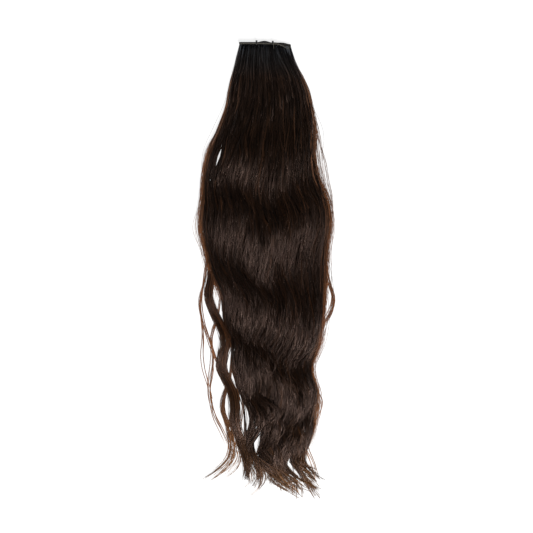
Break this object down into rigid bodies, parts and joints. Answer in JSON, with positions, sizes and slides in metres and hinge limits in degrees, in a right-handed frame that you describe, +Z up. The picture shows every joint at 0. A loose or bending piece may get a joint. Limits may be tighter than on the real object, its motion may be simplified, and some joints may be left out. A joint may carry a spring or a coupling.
{
  "type": "hair extension weft",
  "caption": "Bundle of long wavy dark brown hair sewn to a thin weft band that is folded into layers and tied with thread, lying flat.",
  "frame": {"origin": "on the surface it lies on, under the middle of the whole bundle", "axes": "+Z up from the surface, +Y along the hair from the tips to the weft band, +X to the right as seen from above with the band at the top"},
  "size_m": [0.1636, 0.5492, 0.0298],
  "materials": {
    "hair": "glossy dark brown hair, nearly black at the root",
    "sewn_band": "matt black sewn thread",
    "tie_thread": "matt black thread"
  },
  "bodies": {
    "root": {"hair_fall": "hair", "weft_band": "sewn_band", "thread_tie_left": "tie_thread", "thread_tie_right": "tie_thread"}
  },
  "joints": []
}
